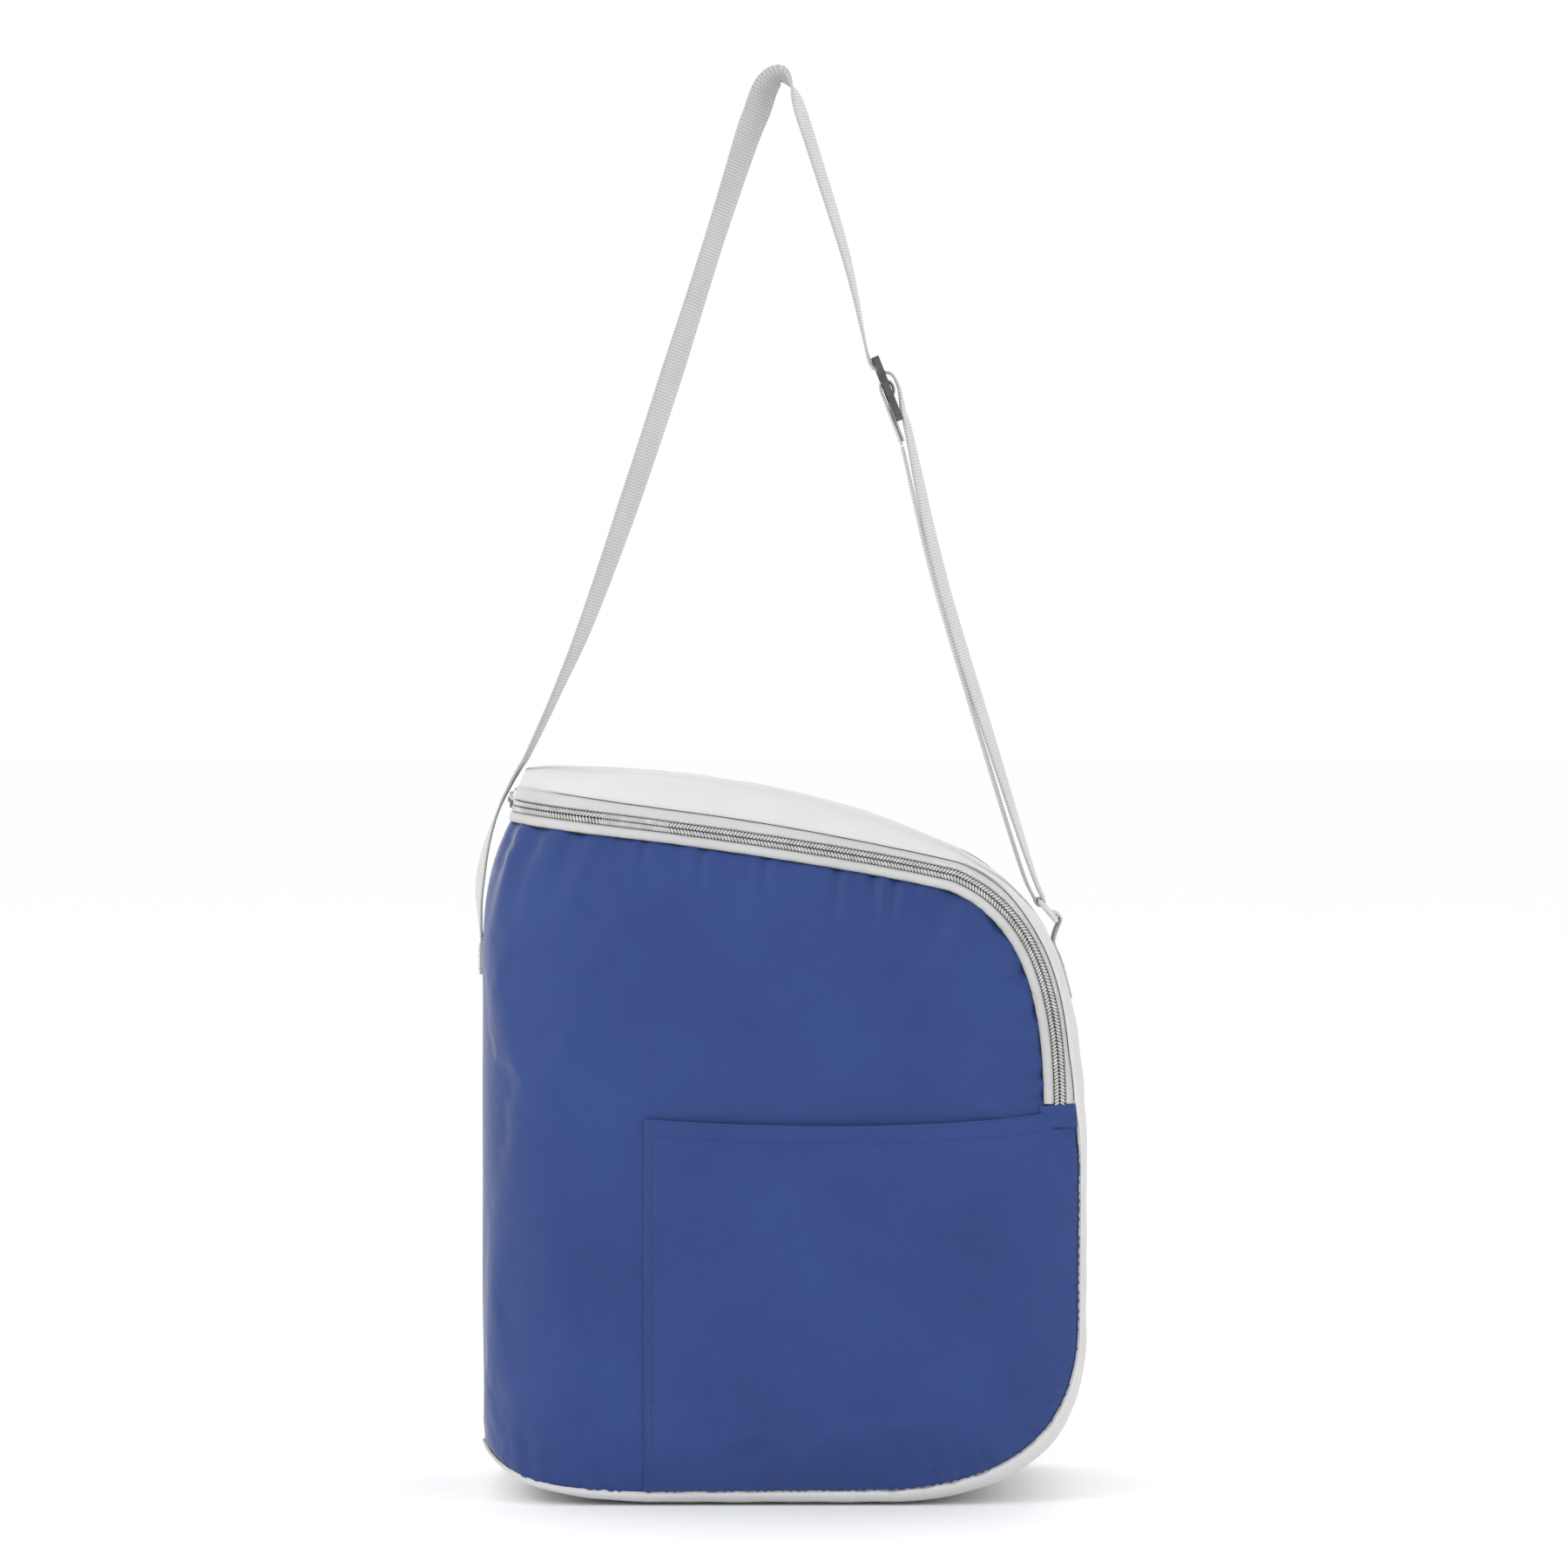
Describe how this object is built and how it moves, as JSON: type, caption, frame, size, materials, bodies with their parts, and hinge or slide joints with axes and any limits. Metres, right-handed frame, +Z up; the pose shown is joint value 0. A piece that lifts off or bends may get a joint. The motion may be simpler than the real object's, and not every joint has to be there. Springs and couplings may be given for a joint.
{
  "type": "insulated cooler bag",
  "caption": "Insulated cooler bag with a rounded rear, sloped zipped lid, side patch pocket and an adjustable webbing shoulder strap.",
  "frame": {"origin": "on the floor under the middle of the bag", "axes": "+X to the bag's front, +Y to the side without the pocket, +Z up"},
  "size_m": [0.2655, 0.1576, 0.625],
  "materials": {
    "blue_fabric": "royal blue woven polyester with a soft satin sheen",
    "grey_fabric": "smooth light grey coated polyester",
    "light_grey_binding": "light grey felted binding",
    "zip_tape": "grey knitted zip tape",
    "zip_teeth": "grey nylon coil",
    "zip_metal": "nickel plated slider and pull",
    "webbing": "light grey ribbed polyester webbing",
    "charcoal_plastic": "moulded acetal, satin",
    "pale_plastic": "moulded acetal, satin, pale",
    "foam": "closed-cell insulation foam",
    "liner": "smooth heat-sealed liner film",
    "board": "stiff fibre board"
  },
  "bodies": {
    "bag": {"outer_wrap": "blue_fabric", "zip_end_tab_near": "blue_fabric", "zip_end_tab_rear": "blue_fabric", "pocket_panel": "blue_fabric", "pocket_top_hem": "blue_fabric", "pocket_side_hem": "blue_fabric", "base_front_gusset": "grey_fabric", "lower_zip_binding": "light_grey_binding", "upper_band_front_near": "light_grey_binding", "upper_band_front_far": "light_grey_binding", "hinge_tape": "light_grey_binding", "lower_zip_tape": "zip_tape", "upper_zip_tape_front": "zip_tape", "lower_zip_teeth": "zip_teeth", "upper_zip_teeth_front": "zip_teeth", "strap_back_patch": "webbing", "strap_left_leg": "webbing", "strap_apex": "webbing", "strap_right_leg": "webbing", "strap_outer_strand": "webbing", "strap_inner_strand": "webbing", "strap_ring_turn": "webbing", "front_tab": "webbing", "front_ring": "pale_plastic", "wrap_foam": "foam", "base_foam": "foam", "front_top_foam": "foam", "body_liner": "liner", "base_board": "board"},
    "lid": {"lid_panel": "grey_fabric", "lid_band": "light_grey_binding", "lid_foam": "foam", "lid_liner": "liner", "upper_zip_tape_lid": "zip_tape", "upper_zip_teeth_lid": "zip_teeth"},
    "zip_slider": {"zip_slider": "zip_metal"},
    "zip_pull": {"zip_pull": "zip_metal"},
    "adjuster": {"strap_adjuster": "charcoal_plastic", "strap_end_loop": "webbing"}
  },
  "joints": [
    {"name": "lid_open", "type": "hinge", "parent": "bag", "child": "lid", "pos_m": [0, 0.0753, 0.28493], "axis": [-0.9892, 0, 0.1465], "range_deg": [0, 110], "deforming": ["strap_left_leg", "strap_apex", "strap_right_leg", "strap_outer_strand"]},
    {"name": "zip_slide", "type": "slide", "parent": "bag", "child": "zip_slider", "axis": [0, -1, 0], "range_m": [0, 0.012]},
    {"name": "pull_swing", "type": "hinge", "parent": "zip_slider", "child": "zip_pull", "pos_m": [-0.12108, 0.03, 0.3023], "axis": [0, 0, -1], "range_deg": [0, 120]},
    {"name": "adjuster_slide", "type": "slide", "parent": "bag", "child": "adjuster", "axis": [0.2571, 0, -0.9664], "range_m": [0, 0.04], "deforming": ["strap_inner_strand"]}
  ]
}
